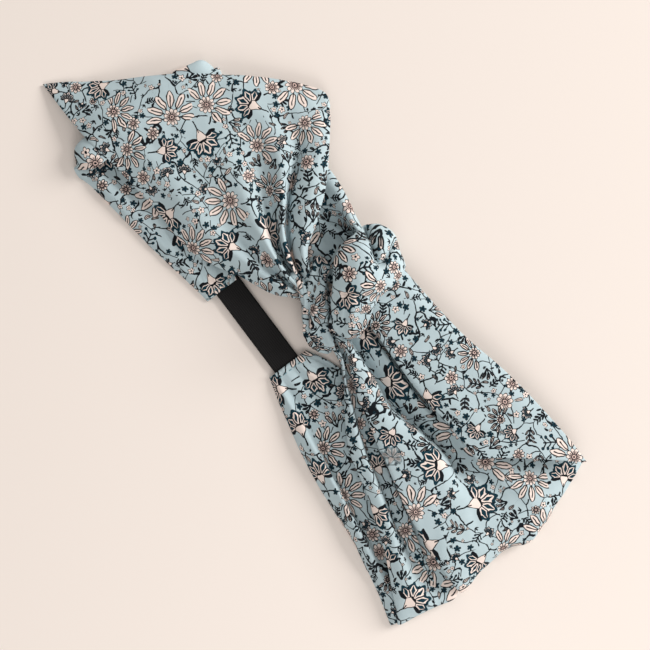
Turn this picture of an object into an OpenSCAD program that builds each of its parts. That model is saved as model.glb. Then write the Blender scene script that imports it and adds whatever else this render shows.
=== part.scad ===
// Tie headband laid flat: two gathered cloth strips, knotted at the front, on a band of elastic at the back.
// Frame: X along the elastic, Y towards the knot's side, Z up from the table; the origin is under the middle.

/* [Overall] */
// Length, from the left tail's tip to the right loop end
overall_l = 289.6; // [265:0.1:315]
// Width, from the right loop end's lower corner to the left tail's peak
overall_w = 117; // [107:0.1:127]

/* [Elastic] */
// Width of the woven elastic
elastic_w = 12.7; // [10:0.1:14]
// Thickness of the woven elastic
elastic_t = 1.4; // [1:0.1:1.6]
// Length of each end that is sewn into its casing
tab_l = 12; // [8:0.5:14]

/* [Cloth layers] */
// Thickness of a gathered layer between its pleats
panel_t = 2.6; // [2.4:0.1:3.2]
// Height of the pleats above the layer
pleat_h = 1.6; // [0.6:0.1:2]
// Pleats across a panel
pleat_n = 5; // [3:1:7]
// Height of the big folds beside the right tail, as a share of a layer's height with its pleats
crest_rise = 1.9; // [1.5:0.05:1.95]
// Height of a loop end at its corners, as a share of its height in the middle
fold_corner = 0.6; // [0.5:0.05:1]
// Thickness of a tail's layer
tail_t = 1.6; // [1:0.1:2]
// Height of the left tail's folds above its own layer
tail_fold_h = 4; // [2:0.1:4.2]
// Free space between two layers
layer_gap = 0.4; // [0.3:0.05:0.6]

/* [Casings] */
// Length of the gathered casing at each end of the elastic
casing_l = 16; // [15:0.5:18]
// Thickness of the thread that closes a casing
thread_d = 0.6; // [0.4:0.1:0.8]
// Distance of the thread row from the casing's mouth
thread_in = 3; // [2:0.5:4]

/* [Knot] */
// Height of the knot above the table
knot_h = 26; // [24:0.5:29]
// Thickness of the strap that wraps over the knot
wrap_t = 3; // [2.4:0.1:3.4]
// Half width of the wrapping strap where it is widest
wrap_half_w = 12; // [9:0.1:12.2]
// Half length of the knot along the wrapping strap
wrap_half_l = 24; // [22:0.1:24.6]
// Half width of the twisted strands beside the strap
strand_r = 5; // [3.6:0.1:5.2]

/* [Tails] */
// Height of the left tail's tip above the table
tip_z = 0.5; // [0.3:0.1:1]

/* [Hidden] */

// Sizes as photographed, which the outlines below are drawn at
drawn_l = 289.6;
drawn_w = 117;
sx = overall_l / drawn_l;
sy = overall_w / drawn_w;
function at_scale(p) = [p[0] * sx, p[1] * sy];

// Free space around pieces that share a seat
seat = 0.3;
// Grid of a panel, along its length and across it
grid_u = 10;
grid_v = 20;
// Sides of a strand and steps along it
strand_sides = 14;
strand_steps = 16;
// Steps round the wrapping strap and round a loop end
wrap_steps = 36;
fold_steps = 8;

// Levels of the layers, from the table up
layer_h = panel_t + pleat_h;
back_z = 0;
front_z = layer_h + layer_gap;
tail_z = front_z + layer_h + layer_gap;
tail_top_z = tail_z + tail_t + seat;
fold_h = front_z + layer_h;

// Where the casings open, the elastic's middle line and its level
left_mouth = at_scale([-25, -30.1]);
right_mouth = at_scale([17.3, -28.6]);
elastic_y = -27.2 * sy;
elastic_z = 0.6;

// Left outlines: each edge runs from the knot or the casing out to the loop's end
left_casing_out = left_mouth[0] - casing_l;
left_panel_in = left_casing_out - seat;
left_panel_out = -108.7 * sx;
left_casing_low = [at_scale([-25, -37.8]), [left_casing_out, -40.3 * sy]];
left_casing_high = [at_scale([-25, -20]), [left_casing_out, -14 * sy]];
left_back_low = [[left_panel_in, -40.4 * sy], at_scale([-71.3, -45.3]), [left_panel_out, -50.2 * sy]];
left_back_high = [[left_panel_in, -13.6 * sy], at_scale([-71.3, 8]), [left_panel_out, 24.4 * sy]];
left_front_low = [at_scale([-14.5, 6]), at_scale([-41, -12]), [left_panel_out, -46 * sy]];
left_front_high = [at_scale([-14.5, 34]), at_scale([-41, 40]), [left_panel_out, 25 * sy]];
left_fold_line = [[left_panel_out - seat, -50 * sy], [left_panel_out - seat, 26 * sy]];
left_fold_reach = 6.4 * sx;

// Right outlines
right_casing_out = right_mouth[0] + casing_l;
right_panel_in = right_casing_out + seat;
right_low_corner = at_scale([134, -57.5]);
right_high_corner = at_scale([125.5, 50.5]);
right_casing_low = [at_scale([17.3, -37.4]), [right_casing_out, -41.5 * sy]];
right_casing_high = [at_scale([17.3, -19.8]), [right_casing_out, -12.5 * sy]];
right_back_low = [[right_panel_in, -41.6 * sy], at_scale([60.7, -47.5]), right_low_corner];
right_back_high = [[right_panel_in, -12.2 * sy], at_scale([60.7, 10]), right_high_corner];
right_fold_line = [right_low_corner + [seat, -1 * sy], right_high_corner + [seat, 1.2 * sy]];
right_fold_far = overall_l / 2;

// Folds of the right front panel, from its lower edge to its upper one: each line runs from the knot to the
// loop's end, and its third numbers are heights above the panel's underside as shares of the highest fold
front_slant = (right_high_corner[0] - right_low_corner[0]) / (right_high_corner[1] - right_low_corner[1]);
right_front_end = function(y) right_low_corner[0] + (y - right_low_corner[1]) * front_slant;
function front_fold(a, b, c, y, end_h) =
    [folded(a), folded(b), folded(c), [right_front_end(y * sy), y * sy, end_h]];
function folded(p) = [p[0] * sx, p[1] * sy, p[2]];
right_front_folds = [
    front_fold([29, -9, 0.2], [60, -25.5, 0.33], [96, -38, 0.26], -57.5, 0.18),
    front_fold([29, -6, 0.48], [60, -21.5, 0.58], [96, -32.5, 0.5], -43, 0.34),
    front_fold([29, -4.4, 0.27], [60, -16, 0.18], [96, -25, 0.18], -32, 0.2),
    front_fold([29, -2.6, 0.66], [60, -12.5, 0.8], [96, -20.5, 0.76], -25.5, 0.62),
    front_fold([29, 0.4, 0.78], [60, -5, 1], [96, -7, 0.9], -4, 0.66),
    front_fold([29, 4.5, 0.3], [60, 3, 0.18], [96, 3.5, 0.42], 7, 0.62),
    front_fold([29, 9, 0.28], [60, 8.5, 0.18], [96, 9, 0.36], 14, 0.62),
    front_fold([29, 14, 0.42], [60, 14, 0.38], [99, 14.2, 0.48], 22.5, 0.62),
    front_fold([29, 24, 0.46], [60, 26, 0.33], [98, 30, 0.28], 34, 0.22),
    front_fold([29, 37, 0.3], [60, 44.5, 0.27], [95, 48, 0.22], 50.5, 0.18)
];

// Folds of the left tail in the same way, from the knot to its free end; heights are shares of tail_fold_h
left_tail_folds = [for (line = [
    [[-13, -8, 0], [-40.5, -30, 0], [-93, -35.6, 0], [-overall_l / 2 / sx, -39.2, 0]],
    [[-13, -6.6, 0.35], [-41, -18, 0.2], [-85, -21, 0], [-138, -29, 0]],
    [[-13, -5, 0], [-41, -8.5, 0], [-85, -7.5, 0], [-128, -13, 0]],
    [[-13, -3, 0.4], [-41, 1, 1], [-80, 8, 0.1], [-119.5, 1, 0]],
    [[-13, -0.8, 0], [-41, 8.4, 0], [-75, 20, 0], [-111, 14.5, 0]],
    [[-13, 1, 0.4], [-41, 15.5, 1], [-69, 29.5, 0.1], [-101, 27, 0]],
    [[-13, 2.6, 0], [-37, 18, 0], [-56, 35, 0], [-92, 37.5, 0]],
    [[-13, 5.2, 0.4], [-31, 22, 1], [-51, 42, 0.4], [-77, 53, 0]],
    [[-13, 7, 0.3], [-27.3, 23.8, 0.4], [-45, 42, 0.2], [-66, overall_w / 2 / sy, 0]]
]) [for (p = line) folded(p)]];

// Tail outlines, from the knot to the free end
right_tail_low = [at_scale([29.5, 13]), at_scale([60, 12.9]), at_scale([100.3, 15])];
right_tail_high = [at_scale([29.5, 41]), at_scale([80, 48.6]), at_scale([130.2, 51.9])];
// The left tail hangs down past the loop's end between these two places
droop_from = -119.5 * sx;
droop_to = -136 * sx;
// It also hangs down past the front panel's upper edge, which runs between these two places
ledge_near = at_scale([-41, 43.5]);
ledge_far = at_scale([-108.7, 29.5]);
ledge_drop = 19;
// Level of the tail's peak above the table
peak_z = 3.4;

// Necks, where the tails leave the knot: outer and inner place, and width at each
left_neck_out = at_scale([-12.6, -0.5]);
left_neck_in = at_scale([-6, -0.8]);
left_neck_w = 13 * sy;
left_neck_in_w = 4 * sy;
right_neck_out = at_scale([28.8, 33]);
right_neck_in = at_scale([25, 34.5]);
right_neck_w = 13 * sy;
right_neck_in_w = 7 * sy;

// Knot: middle, slant of the wrapping strap, direction along it and direction across it
knot_mid = at_scale([8.5, 22.5]);
strap_slant = 56;
strap_along = [cos(strap_slant), -sin(strap_slant)];
strap_across = [sin(strap_slant), cos(strap_slant)];
// Width of the strap at its lower end, as a share of its width at the upper end
strap_taper = 0.5;
knot_low = 0.6;
knot_mid_z = (knot_h + knot_low) / 2;
wrap_half_h = (knot_h - knot_low) / 2;
// The strap's loop is a rounded oblong: this power squares it a little
wrap_square = 0.8;
core_half_l = wrap_half_l - wrap_t - 1;
core_half_h = wrap_half_h - wrap_t - 1;
core_half_w = 12.5;
core_shift = 2.6;
core_steps = 12;
// Strands twist round the strap's lower left side, each on its own path
upper_z = 12;
lower_z = 6.5;
upper_path = [at_scale([-9.2, 19.5]), at_scale([-3.5, 6.5]), at_scale([8, -3]), at_scale([20.5, -5.3])];
lower_path = [at_scale([-4.6, -5.5]), at_scale([4, -10.3]), at_scale([14, -12.4]), at_scale([23.5, -10.6])];
upper_half_h = 9.5;
lower_half_h = 5.8;
lower_slim = 0.62;

function mix(a, b, t) = a + (b - a) * t;
function ease(t) = let (c = min(max(t, 0), 1)) c * c * (3 - 2 * c);

// A smooth curve through a list of points, for t from 0 to 1
function curve(p, t) =
    let (n = len(p) - 1, s = min(floor(t * n), n - 1), f = t * n - s)
    let (b = p[s], c = p[s + 1], a = s > 0 ? p[s - 1] : 2 * b - c, d = s < n - 1 ? p[s + 2] : 2 * c - b)
    b + f * (c - a) / 2 + f * f * (a - 2.5 * b + 2 * c - d / 2) + f * f * f * (1.5 * (b - c) + (d - a) / 2);

// Faces of a closed skin over a grid of points: rows by cols above, and the same below
function grid_at(i, j, cols) = i * (cols + 1) + j;
function sheet_faces(rows, cols) =
    let (m = (rows + 1) * (cols + 1))
    concat(
        [for (i = [0:rows - 1], j = [0:cols - 1], k = [0, 1])
            let (a = grid_at(i, j, cols), b = grid_at(i, j + 1, cols))
            let (c = grid_at(i + 1, j + 1, cols), d = grid_at(i + 1, j, cols))
            k == 0 ? [a, b, c] : [a, c, d]],
        [for (i = [0:rows - 1], j = [0:cols - 1], k = [0, 1])
            let (a = m + grid_at(i, j, cols), b = m + grid_at(i, j + 1, cols))
            let (c = m + grid_at(i + 1, j + 1, cols), d = m + grid_at(i + 1, j, cols))
            k == 0 ? [a, c, b] : [a, d, c]],
        [for (i = [0:rows - 1], e = [0, cols], k = [0, 1])
            let (a = grid_at(i, e, cols), b = grid_at(i + 1, e, cols), up = e == 0)
            k == 0 ? (up ? [a, b, b + m] : [b, a, a + m]) : (up ? [a, b + m, a + m] : [b, a + m, b + m])],
        [for (j = [0:cols - 1], e = [0, rows], k = [0, 1])
            let (a = grid_at(e, j, cols), b = grid_at(e, j + 1, cols), up = e == rows)
            k == 0 ? (up ? [a, b, b + m] : [b, a, a + m]) : (up ? [a, b + m, a + m] : [b, a + m, b + m])]
    );

// A pleated layer between two edges: the pleats run from u = 0 to u = 1 and grow on the way
module pleated(low, high, bottom, thick, rise, pleats, flip = false, rise_in = 0.25) {
    spots = [for (i = [0:grid_u], j = [0:grid_v])
        let (u = i / grid_u, v = j / grid_v)
        mix(curve(low, u), curve(high, u), v)];
    lift = [for (i = [0:grid_u], j = [0:grid_v])
        let (u = i / grid_u, v = j / grid_v, grow = mix(rise_in, 1, ease(u)))
        thick + rise * grow * (1 - cos(360 * pleats * v)) / 2];
    top = [for (k = [0:len(spots) - 1]) [spots[k][0], spots[k][1], bottom(spots[k]) + lift[k]]];
    under = [for (p = spots) [p[0], p[1], bottom(p)]];
    faces = sheet_faces(grid_u, grid_v);
    polyhedron(concat(top, under), flip ? [for (f = faces) [f[2], f[1], f[0]]] : faces, convexity = 6);
}

// A layer in big folds: its upper face goes through the fold lines, whose third numbers give the height
module draped(folds, bottom, height, flip = false) {
    steps = 3 * (len(folds) - 1);
    top = [for (i = [0:grid_u], j = [0:steps])
        let (p = curve([for (line = folds) curve(line, i / grid_u)], j / steps))
        [p[0], p[1], bottom(p) + height(p[2])]];
    under = [for (p = top) [p[0], p[1], bottom(p)]];
    faces = sheet_faces(grid_u, steps);
    polyhedron(concat(top, under), flip ? [for (f = faces) [f[2], f[1], f[0]]] : faces, convexity = 6);
}

// A strand: an oval section carried along a curve, thinner towards both ends
module strand(path, half_w, half_h, thin = 0.7) {
    rings = [for (i = [0:strand_steps])
        let (t = i / strand_steps, p = curve(path, t), e = 0.02)
        let (q = curve(path, min(t + e, 1)) - curve(path, max(t - e, 0)))
        let (n = [-q[1], q[0], 0] / norm([q[0], q[1]]), s = mix(thin, 1, sin(180 * t)))
        [for (j = [0:strand_sides - 1])
            let (a = 360 * j / strand_sides)
            p + n * half_w * s * cos(a) + [0, 0, half_h * s * sin(a)]]];
    points = [for (r = rings) for (p = r) p];
    sides = [for (i = [0:strand_steps - 1], j = [0:strand_sides - 1], k = [0, 1])
        let (a = i * strand_sides + j, b = i * strand_sides + (j + 1) % strand_sides)
        k == 0 ? [a, a + strand_sides, b + strand_sides] : [a, b + strand_sides, b]];
    ends = [
        [for (j = [0:strand_sides - 1]) j],
        [for (j = [strand_sides - 1:-1:0]) strand_steps * strand_sides + j]
    ];
    polyhedron(points, concat(sides, ends), convexity = 6);
}

// A loop's end: the cloth rolls from the back layer to the front layer along a line
module roll(line, reach) {
    spots = [for (i = [0:grid_v], j = [0:fold_steps])
        let (v = i / grid_v, a = 180 * j / fold_steps - 90, p = curve(line, v))
        [p[0] + reach(v) * cos(a), p[1], fold_h / 2 * (1 + sin(a)) * mix(fold_corner, 1, sin(180 * v))]];
    cols = fold_steps + 1;
    sides = [for (i = [0:grid_v - 1], j = [0:fold_steps], k = [0, 1])
        let (a = i * cols + j, b = i * cols + (j + 1) % cols)
        k == 0 ? [a, b + cols, b] : [a, a + cols, b + cols]];
    ends = [
        [for (j = [0:fold_steps]) j],
        [for (j = [fold_steps:-1:0]) grid_v * cols + j]
    ];
    faces = concat(sides, ends);
    polyhedron(spots, reach(0.5) < 0 ? [for (f = faces) [for (k = [len(f) - 1:-1:0]) f[k]]] : faces, convexity = 4);
}

module elastic() {
    color("#17171a")
        translate([left_mouth[0] - tab_l, elastic_y - elastic_w / 2, elastic_z])
            cube([right_mouth[0] - left_mouth[0] + 2 * tab_l, elastic_w, elastic_t]);
}

// Room for the elastic's sewn end inside a casing
module tab_room(x) {
    translate([x - tab_l - seat, elastic_y - elastic_w / 2 - seat, elastic_z - seat])
        cube([2 * (tab_l + seat), elastic_w + 2 * seat, elastic_t + 2 * seat]);
}

module left_casing() {
    color("#8fb3bd")
        difference() {
            pleated(left_casing_low, left_casing_high, function(p) back_z, panel_t, pleat_h, pleat_n, true, 0);
            tab_room(left_mouth[0]);
        }
}

module right_casing() {
    color("#8fb3bd")
        difference() {
            pleated(right_casing_low, right_casing_high, function(p) back_z, panel_t, pleat_h, pleat_n, false, 0);
            tab_room(right_mouth[0]);
        }
}

// A row of stitching across a casing, through the cloth and the elastic's end
module thread_row(x) {
    translate([x - thread_d / 2, elastic_y - elastic_w / 2, panel_t + pleat_h * 0.12])
        cube([thread_d, elastic_w, thread_d]);
}

module left_thread() {
    color("#5f8791")
        thread_row(left_mouth[0] - thread_in);
}

module right_thread() {
    color("#5f8791")
        thread_row(right_mouth[0] + thread_in);
}

module left_back_panel() {
    color("#8fb3bd")
        pleated(left_back_low, left_back_high, function(p) back_z, panel_t, pleat_h, pleat_n, true);
}

module right_back_panel() {
    color("#8fb3bd")
        pleated(right_back_low, right_back_high, function(p) back_z, panel_t, pleat_h, pleat_n);
}

module left_fold() {
    color("#86abb6")
        roll(left_fold_line, function(v) -left_fold_reach * mix(0.75, 1, sin(180 * v)));
}

module right_fold() {
    color("#86abb6")
        roll(right_fold_line,
            function(v) (right_fold_far - curve(right_fold_line, v)[0]) * mix(0.4, 1, sin(180 * v)));
}

module left_front_panel() {
    color("#97bac3")
        pleated(left_front_low, left_front_high, function(p) front_z, panel_t, pleat_h, pleat_n, true, 1);
}

module right_front_panel() {
    color("#97bac3")
        draped(right_front_folds, function(p) front_z, function(h) max(h, 0.17) * crest_rise * layer_h);
}

// The strap that goes over the knot, under it and back to where it began
module knot_wrap() {
    function bend(a, s) = let (c = cos(a)) sign(c) * pow(abs(c), s);
    function place(along, across, z) =
        let (p = knot_mid + strap_along * along + strap_across * across) [p[0], p[1], z];
    rings = [for (i = [0:wrap_steps - 1])
        let (a = 360 * i / wrap_steps, c = bend(a, wrap_square), s = bend(a - 90, wrap_square))
        let (w = wrap_half_w * mix(strap_taper, 1, (1 - c) / 2))
        [for (k = [[0, -1], [1, -1], [1, 1], [0, 1]])
            let (l = wrap_half_l - wrap_t * (1 - k[0]), h = wrap_half_h - wrap_t * (1 - k[0]))
            place(l * c, w * k[1], knot_mid_z + h * s)]];
    points = [for (r = rings) for (p = r) p];
    faces = [for (i = [0:wrap_steps - 1], j = [0:3], k = [0, 1])
        let (n = (i + 1) % wrap_steps, m = (j + 1) % 4)
        let (a = i * 4 + j, b = i * 4 + m, c = n * 4 + m, d = n * 4 + j)
        k == 0 ? [a, b, c] : [a, c, d]];
    color("#a2c2ca")
        polyhedron(points, faces, convexity = 8);
}

// The crossed strands inside the strap
module knot_core() {
    color("#7ea3ae")
        translate([knot_mid[0], knot_mid[1], knot_mid_z])
            rotate(-strap_slant)
                translate([0, core_shift, 0])
                    scale([core_half_l, core_half_w, core_half_h])
                        sphere(1, $fn = 2 * core_steps);
}

// A path on the table's plane, lifted to one level
function lifted(path, z) = [for (p = path) [p[0], p[1], z]];

module knot_upper_strand() {
    color("#92b6c0")
        strand(lifted(upper_path, upper_z), strand_r, upper_half_h);
}

module knot_lower_strand() {
    color("#92b6c0")
        strand(lifted(lower_path, lower_z), strand_r * lower_slim, lower_half_h);
}

// Where a tail leaves the knot: its cloth is drawn together from out_w to in_w
module neck(out, out_w, into, in_w, thick) {
    hull() {
        translate([out[0], out[1] - out_w / 2, tail_z])
            cube([seat, out_w, thick]);
        translate([into[0], into[1] - in_w / 2, tail_z])
            cube([seat, in_w, thick]);
    }
}

module left_neck() {
    color("#92b6c0")
        neck(left_neck_out, left_neck_w, left_neck_in, left_neck_in_w, tail_t);
}

module right_neck() {
    color("#92b6c0")
        neck(right_neck_out, right_neck_w, right_neck_in, right_neck_in_w, 2 * tail_t + seat);
}

module left_tail() {
    along = ledge_far - ledge_near;
    over = function(p) (p[1] - ledge_near[1] - (p[0] - ledge_near[0]) * along[1] / along[0]) / ledge_drop;
    tip = function(p) ease((droop_from - p[0]) / (droop_from - droop_to));
    hang = function(p) min(mix(tail_z, tip_z, tip(p)), mix(tail_z, peak_z, ease(over(p))));
    color("#9dc0c9")
        draped(left_tail_folds, hang, function(h) tail_t * 0.8 + max(h, 0) * tail_fold_h, true);
}

module right_tail_under() {
    color("#8fb3bd")
        pleated(right_tail_low, right_tail_high, function(p) tail_z, tail_t, 0, 1);
}

module right_tail_top() {
    color("#9dc0c9")
        pleated(right_tail_low, right_tail_high, function(p) tail_top_z, tail_t, pleat_h * 0.5, 2);
}

elastic();
left_casing();
right_casing();
left_thread();
right_thread();
left_back_panel();
right_back_panel();
left_fold();
right_fold();
left_front_panel();
right_front_panel();
knot_wrap();
knot_core();
knot_upper_strand();
knot_lower_strand();
left_neck();
right_neck();
left_tail();
right_tail_under();
right_tail_top();
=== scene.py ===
import math
from collections import namedtuple
import bpy
import numpy as np
from mathutils import Matrix, Vector


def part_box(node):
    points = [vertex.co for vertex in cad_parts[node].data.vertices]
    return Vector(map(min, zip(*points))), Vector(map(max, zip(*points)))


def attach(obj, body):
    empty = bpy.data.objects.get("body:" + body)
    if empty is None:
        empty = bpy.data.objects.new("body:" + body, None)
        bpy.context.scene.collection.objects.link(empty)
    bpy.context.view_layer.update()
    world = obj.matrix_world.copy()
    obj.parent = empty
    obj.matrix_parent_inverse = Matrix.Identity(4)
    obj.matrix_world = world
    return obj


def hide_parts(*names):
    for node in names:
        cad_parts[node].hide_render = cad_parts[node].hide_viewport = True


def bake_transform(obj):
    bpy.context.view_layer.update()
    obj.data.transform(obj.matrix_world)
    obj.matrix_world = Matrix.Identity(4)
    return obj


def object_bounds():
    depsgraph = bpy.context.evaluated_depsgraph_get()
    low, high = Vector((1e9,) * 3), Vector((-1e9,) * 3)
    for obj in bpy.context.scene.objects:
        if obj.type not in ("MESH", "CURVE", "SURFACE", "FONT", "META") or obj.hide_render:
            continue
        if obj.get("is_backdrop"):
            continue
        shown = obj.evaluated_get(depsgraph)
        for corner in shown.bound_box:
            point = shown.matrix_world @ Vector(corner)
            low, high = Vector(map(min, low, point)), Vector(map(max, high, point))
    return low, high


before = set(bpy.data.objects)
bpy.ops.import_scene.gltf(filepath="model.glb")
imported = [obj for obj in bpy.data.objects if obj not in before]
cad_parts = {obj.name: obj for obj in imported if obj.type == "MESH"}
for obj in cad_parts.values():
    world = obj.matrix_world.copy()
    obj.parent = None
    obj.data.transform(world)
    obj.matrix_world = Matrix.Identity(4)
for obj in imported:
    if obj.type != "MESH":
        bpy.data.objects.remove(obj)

CAD_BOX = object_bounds()
MM = 0.001

# Cloth
CLOTH = 0.55 * MM  # two plies of cotton
GRAIN = 1.1 * MM  # mesh spacing of the panels and tails
STRAP_GRAIN = 0.8 * MM  # mesh spacing of the strap over the knot
LEAST_POINTS = 8  # of a sheet's grid, each way
LOWEST = CLOTH / 2 + 0.1 * MM  # middle of the lowest cloth, just clear of the table

# Strands of bunched cloth
STRAND_SIDES, STRAND_RINGS = 56, 60
STRAND_TIP = 0.35  # girth at the ends, as a share of the full one
STRAND_TAPER = 0.16  # share of the length over which an end fills out
STRAND_CREASE = 0.4  # depth of the folds, as a share of the girth

# Elastic and stitching
ELASTIC_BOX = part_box("elastic")
ELASTIC_THICK = 1.3 * MM
ELASTIC_GRID = (60, 14)
STITCH = 1.8 * MM
STITCH_STEP = 2.6 * MM
STITCH_THICK = 0.44 * MM
STITCH_LIFT = 0.08 * MM  # middle of the thread above the cloth
STITCH_DIP = 0.2 * MM  # how far a stitch's ends go down into the cloth
STITCH_SIDES, STITCH_RINGS = 8, 7

# Places along the band, in mm
BAND_Y = -27  # middle of the elastic
LEFT_LOOP, RIGHT_LOOP = -108.7, 134  # the loop's ends
LEFT_SEAM, RIGHT_SEAM = -25, 17.3  # the casings, which hold the elastic
GATHERS = 33  # a place on the right back panel, between the loop's end and the casing
KNOT_LEFT, KNOT_RIGHT = -4, 17  # where the front panels meet the knot
LEFT_TAIL_BEND = (-13, -38)  # from neck to free tail
RIGHT_TAIL_BEND = (29.5, 55)

# Shades in daylight (sRGB, 0 to 255)
GROUND = (195, 213, 219)
GROUND_DEEP = (184, 204, 211)
INK = (22, 26, 31)
TEAL = (22, 54, 66)
CREAM = (245, 229, 221)
BLUSH = (222, 194, 186)
BLACK = (17, 16, 17)
BLACK_LOW, BLACK_HIGH = (10, 9, 10), (24, 23, 24)
THREAD_BLUE = (110, 150, 160)
THREAD_LOW, THREAD_HIGH = (92, 130, 140), (128, 168, 178)
TABLE_TOP = (250, 240, 233)

# The print in mm: each layer's spacing, stray (0 to 1) and shift
LARGE = (21.0, 0.66, (3.1, 7.7, 0.0))
MIDDLE = (8.2, 0.76, (41.0, 90.0, 0.0))
SMALL = (3.4, 0.85, (13.0, 57.0, 0.0))
LARGE_MOST, MIDDLE_MOST = 10.5, 6.6  # radius of the largest motifs
MIDDLE_LEAST, SMALL_LEAST = 2.0, 0.8  # smaller ones are left out
VINE_NET = 8.5  # spacing of the trailing stalks
STALK, VINE = 0.32, 0.3  # half widths of stalks
SOFT, SHARP = 0.08, 0.001  # width of a printed edge and of a hard one
FULL_TURN = 2 * math.pi
Cell = namedtuple("Cell", "spot off free pick turn")

# Sockets of a Mix node that mixes colours
MIX_SHARE, MIX_LOW, MIX_HIGH = 0, 6, 7
MIX_COLOUR = 2

# The photograph: 650 pixels across show 286 mm of the table, turned against the part
PICTURE = 286 * MM
PICTURE_MID = Vector((13.6, -3.1, 0)) * MM
PICTURE_HEIGHT = 6 * MM  # above the table, about the middle of the cloth
RIGHT, UP = Vector((0.6, 0.8, 0)), Vector((-0.8, 0.6, 0))
SENSOR, LENS = 36, 80

# Light
SKY = (1.0, 0.965, 0.93, 1.0)
SKY_STRENGTH = 0.46
LAMP_WHITE = (1.0, 0.97, 0.94)
TABLE_SIZE = 30


# Guide lines of the cloth in mm, each from the casing or the knot outwards, in the order of the folds
RIGHT_UNDER = [(17.5, -27, 0.3), (43, -31, 0.3), (96, -31, 0.3), (134, -24, 0.3)]
RIGHT_BACK = [
    RIGHT_UNDER,
    [
        (17.5, -36.5, 0.6), (30, -40, 0.6), (43, -43.5, 0.6), (60, -46.5, 0.6),
        (80, -49, 0.6), (100, -51, 0.7), (120, -54.5, 0.8), (138, -58.5, 0.9),
    ],
    [(17.5, -34.5, 2.3), (30, -36.5, 3.6), (43, -38, 5.2), (60, -40, 6), (96, -46, 5.6), (138.5, -54, 3)],
    [(17.5, -32.5, 2.7), (30, -33.5, 1.8), (43, -35.5, 1.5), (60, -38, 1.4), (96, -44, 1.4), (139, -48, 1.6)],
    [(17.5, -30, 2.9), (30, -29, 3.6), (43, -28, 2.2), (60, -29, 1.4), (96, -36, 1.4), (139, -34, 1.6)],
    [(17.5, -27, 2.7), (30, -25, 1.8), (43, -23, 1.5), (60, -22, 1.4), (96, -24, 1.4), (138, -20, 1.6)],
    [(17.5, -24, 3), (30, -20.5, 4.2), (43, -17.5, 3.2), (60, -15.5, 1.5), (96, -9, 1.4), (137, -2.5, 1.6)],
    [(17.5, -20.5, 2.6), (26, -16.5, 2.8), (38, -12.5, 2.2), (56, -6, 1.4), (91, 6, 1.4), (135, 19, 1.5)],
    [(17.5, -17, 1.2), (25, -13.2, 1.4), (36, -9, 1.4), (52, -2.5, 1.4), (87, 13, 1.4), (131, 39, 1.4)],
    RIGHT_UNDER,
]
LEFT_UNDER = [
    (-26, -29, 0.3), (-49, -30, 0.3), (-71, -27, 0.3), (-98, -20, 0.4),
    (-108, -16, 1), (-111, -16, 3), (-108, -16, 5), (-101, -16, 6),
]
LEFT_BACK = [
    LEFT_UNDER,
    [
        (-26, -38, 0.6), (-49, -42, 0.6), (-71, -45.5, 0.6), (-98, -49, 0.7),
        (-106, -50.5, 1.2), (-108, -49.5, 2.8), (-105.5, -48, 4.8),
    ],
    [
        (-26, -35.5, 2.3), (-49, -38, 3.2), (-71, -40.5, 3.4), (-98, -43.5, 3.4),
        (-112.5, -44.5, 3.6), (-115, -44, 5), (-112, -43, 7.2), (-102, -42, 7.6),
    ],
    [
        (-26, -33, 2.7), (-49, -34, 2.8), (-71, -35, 2.8), (-98, -39, 1.6),
        (-113, -37, 3), (-115.5, -36, 5), (-112, -36, 7.4), (-102, -36, 7.8),
    ],
    [
        (-26, -29.5, 2.9), (-49, -28, 4), (-71, -27, 3.6), (-102, -24.5, 3),
        (-113.5, -24, 3.6), (-115.5, -24, 5.4), (-112, -24, 7.8), (-102, -24, 8.2),
    ],
    [
        (-26, -27, 2.7), (-49, -22, 2), (-71, -16, 2), (-102, -7, 2.2),
        (-113, -2.5, 3.4), (-115.5, -2.5, 5.4), (-112, -2.5, 7.8), (-102, -2.5, 8.2),
    ],
    [
        (-26, -24, 2.9), (-49, -16, 3.5), (-71, -6, 3.5), (-102, 8.5, 2.6),
        (-112.5, 13, 3.4), (-115, 13, 5.2), (-111.5, 13, 7.2), (-102, 12, 7.6),
    ],
    [
        (-26, -22.5, 1.6), (-49, -11.5, 1.5), (-71, 2.5, 1.5), (-98, 17.5, 1.4),
        (-110, 23, 2), (-112.5, 23.5, 3.5), (-109.5, 22.5, 5.2), (-102, 21.5, 5.6),
    ],
    [
        (-26, -21.5, 0.9), (-49, -8, 0.9), (-71, 9, 0.9), (-94, 23.5, 0.9),
        (-104, 26, 1.4), (-106, 26, 2.8), (-103, 25, 4.2),
    ],
    LEFT_UNDER,
]
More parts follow.
